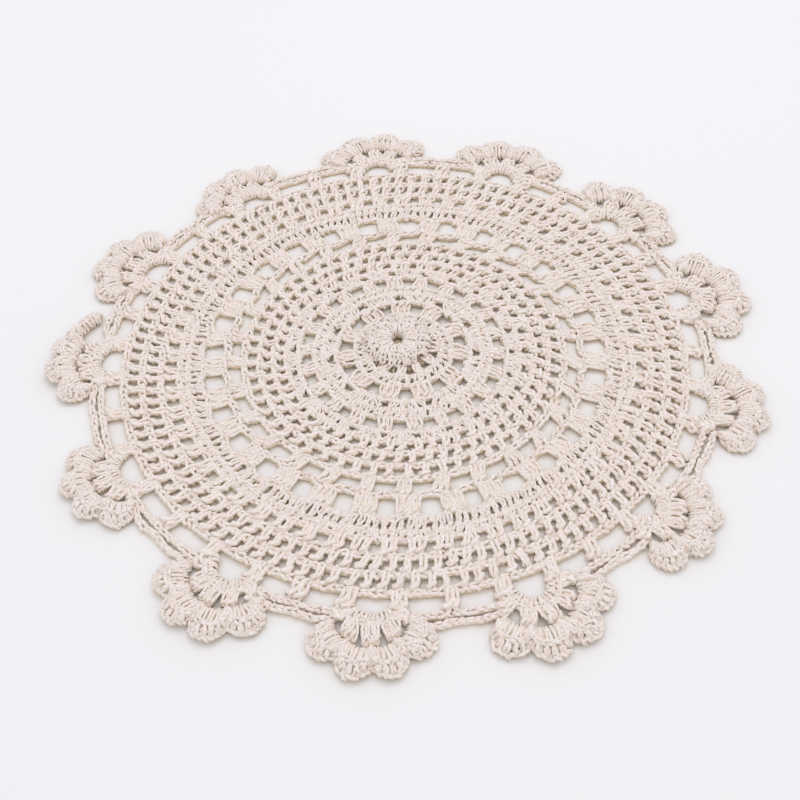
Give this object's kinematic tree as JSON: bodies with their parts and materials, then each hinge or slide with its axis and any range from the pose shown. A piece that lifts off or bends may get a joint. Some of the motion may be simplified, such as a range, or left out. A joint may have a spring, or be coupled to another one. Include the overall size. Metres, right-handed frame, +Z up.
{
  "type": "crochet placemat",
  "caption": "Round openwork crochet placemat in thick cream cotton yarn, with a raised rosette in the middle and a scalloped border of fans; lies flat under a plate or vase.",
  "frame": {"origin": "middle of the mat on its underside, below the eye of the rosette", "axes": "+Z up through the cloth; +Y away from the viewer of the picture; +X to the viewer's right"},
  "size_m": [0.3463, 0.3428, 0.0092],
  "materials": {
    "cotton": "matte plied cotton yarn, undyed cream"
  },
  "bodies": {
    "root": {"mat": "cotton"}
  },
  "joints": []
}
